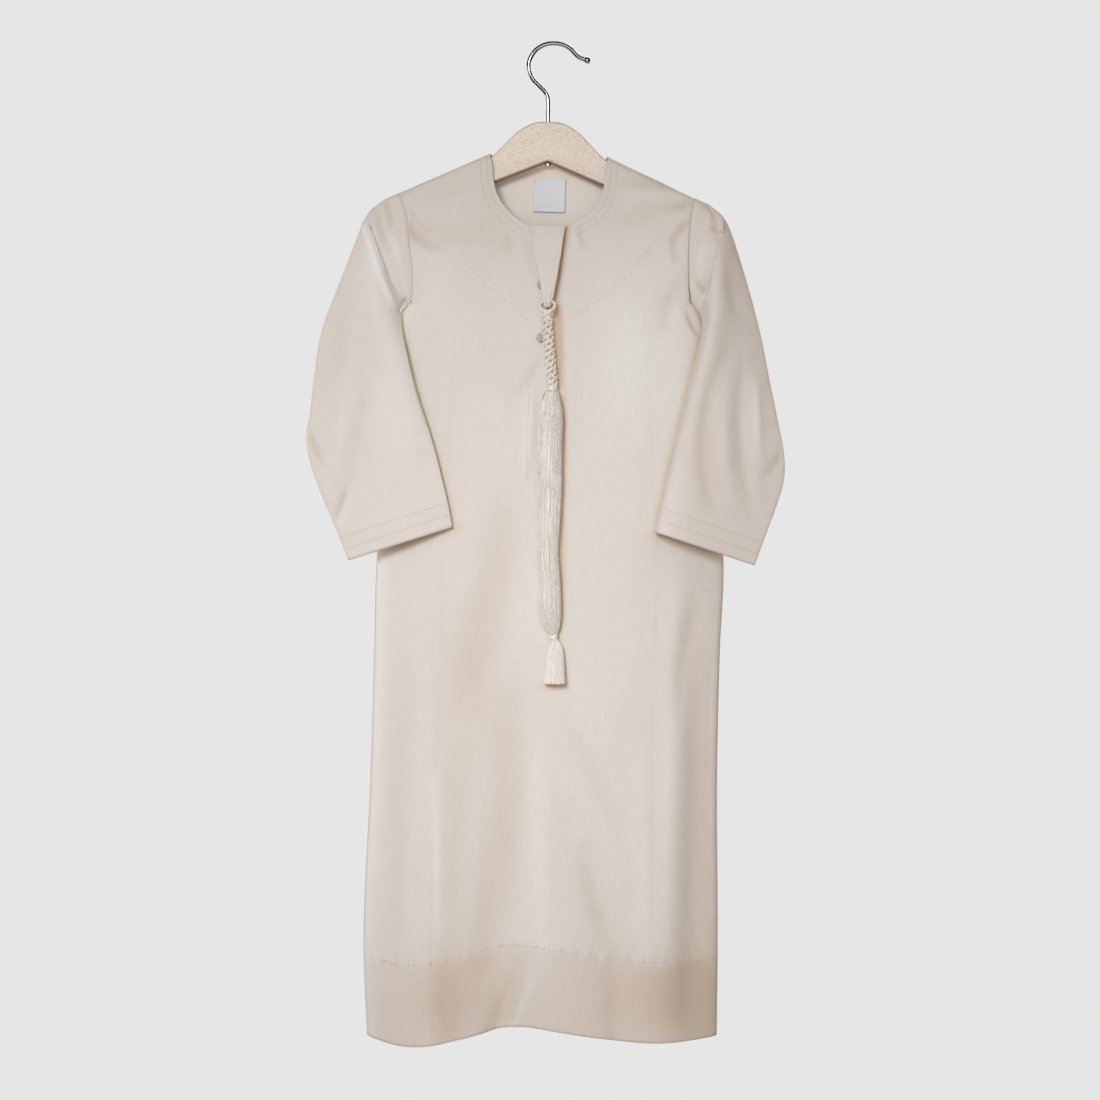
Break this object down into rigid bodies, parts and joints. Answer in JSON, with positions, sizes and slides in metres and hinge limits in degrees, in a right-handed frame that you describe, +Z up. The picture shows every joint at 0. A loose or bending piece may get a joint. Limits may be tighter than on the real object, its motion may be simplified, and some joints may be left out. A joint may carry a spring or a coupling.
{
  "type": "thobe robe on a hanger",
  "caption": "Child's long thobe robe with round neck, buttoned slit, hanging tassel and open cuffs, on a wooden hanger with a wire hook.",
  "frame": {"origin": "rail seat: the lowest point of the wire under the hook's crown, where a clothes rail carries the hanger", "axes": "+Z up along the stem, +X to the right as seen from the front, the robe's front faces -Y"},
  "size_m": [0.4188, 0.0936, 0.879],
  "materials": {
    "cloth": "fine plain weave in cream with a soft sheen",
    "thread": "silky off-white thread",
    "button": "wound beige thread",
    "label": "white satin, bare",
    "wood": "pale wood, lightly varnished",
    "steel": "dark polished chrome"
  },
  "bodies": {
    "root": {"body_front": "cloth", "body_back": "cloth", "sleeve_left": "cloth", "sleeve_right": "cloth", "neck_tab": "cloth", "button_upper": "button", "button_lower": "button", "label": "label", "tassel_loop": "thread", "tassel_rope": "thread", "tassel_binding": "thread", "tassel_skirt": "thread", "tassel_tuft": "thread", "hanger_wood": "wood", "hanger_hook": "steel", "hanger_nut": "steel"}
  },
  "joints": []
}
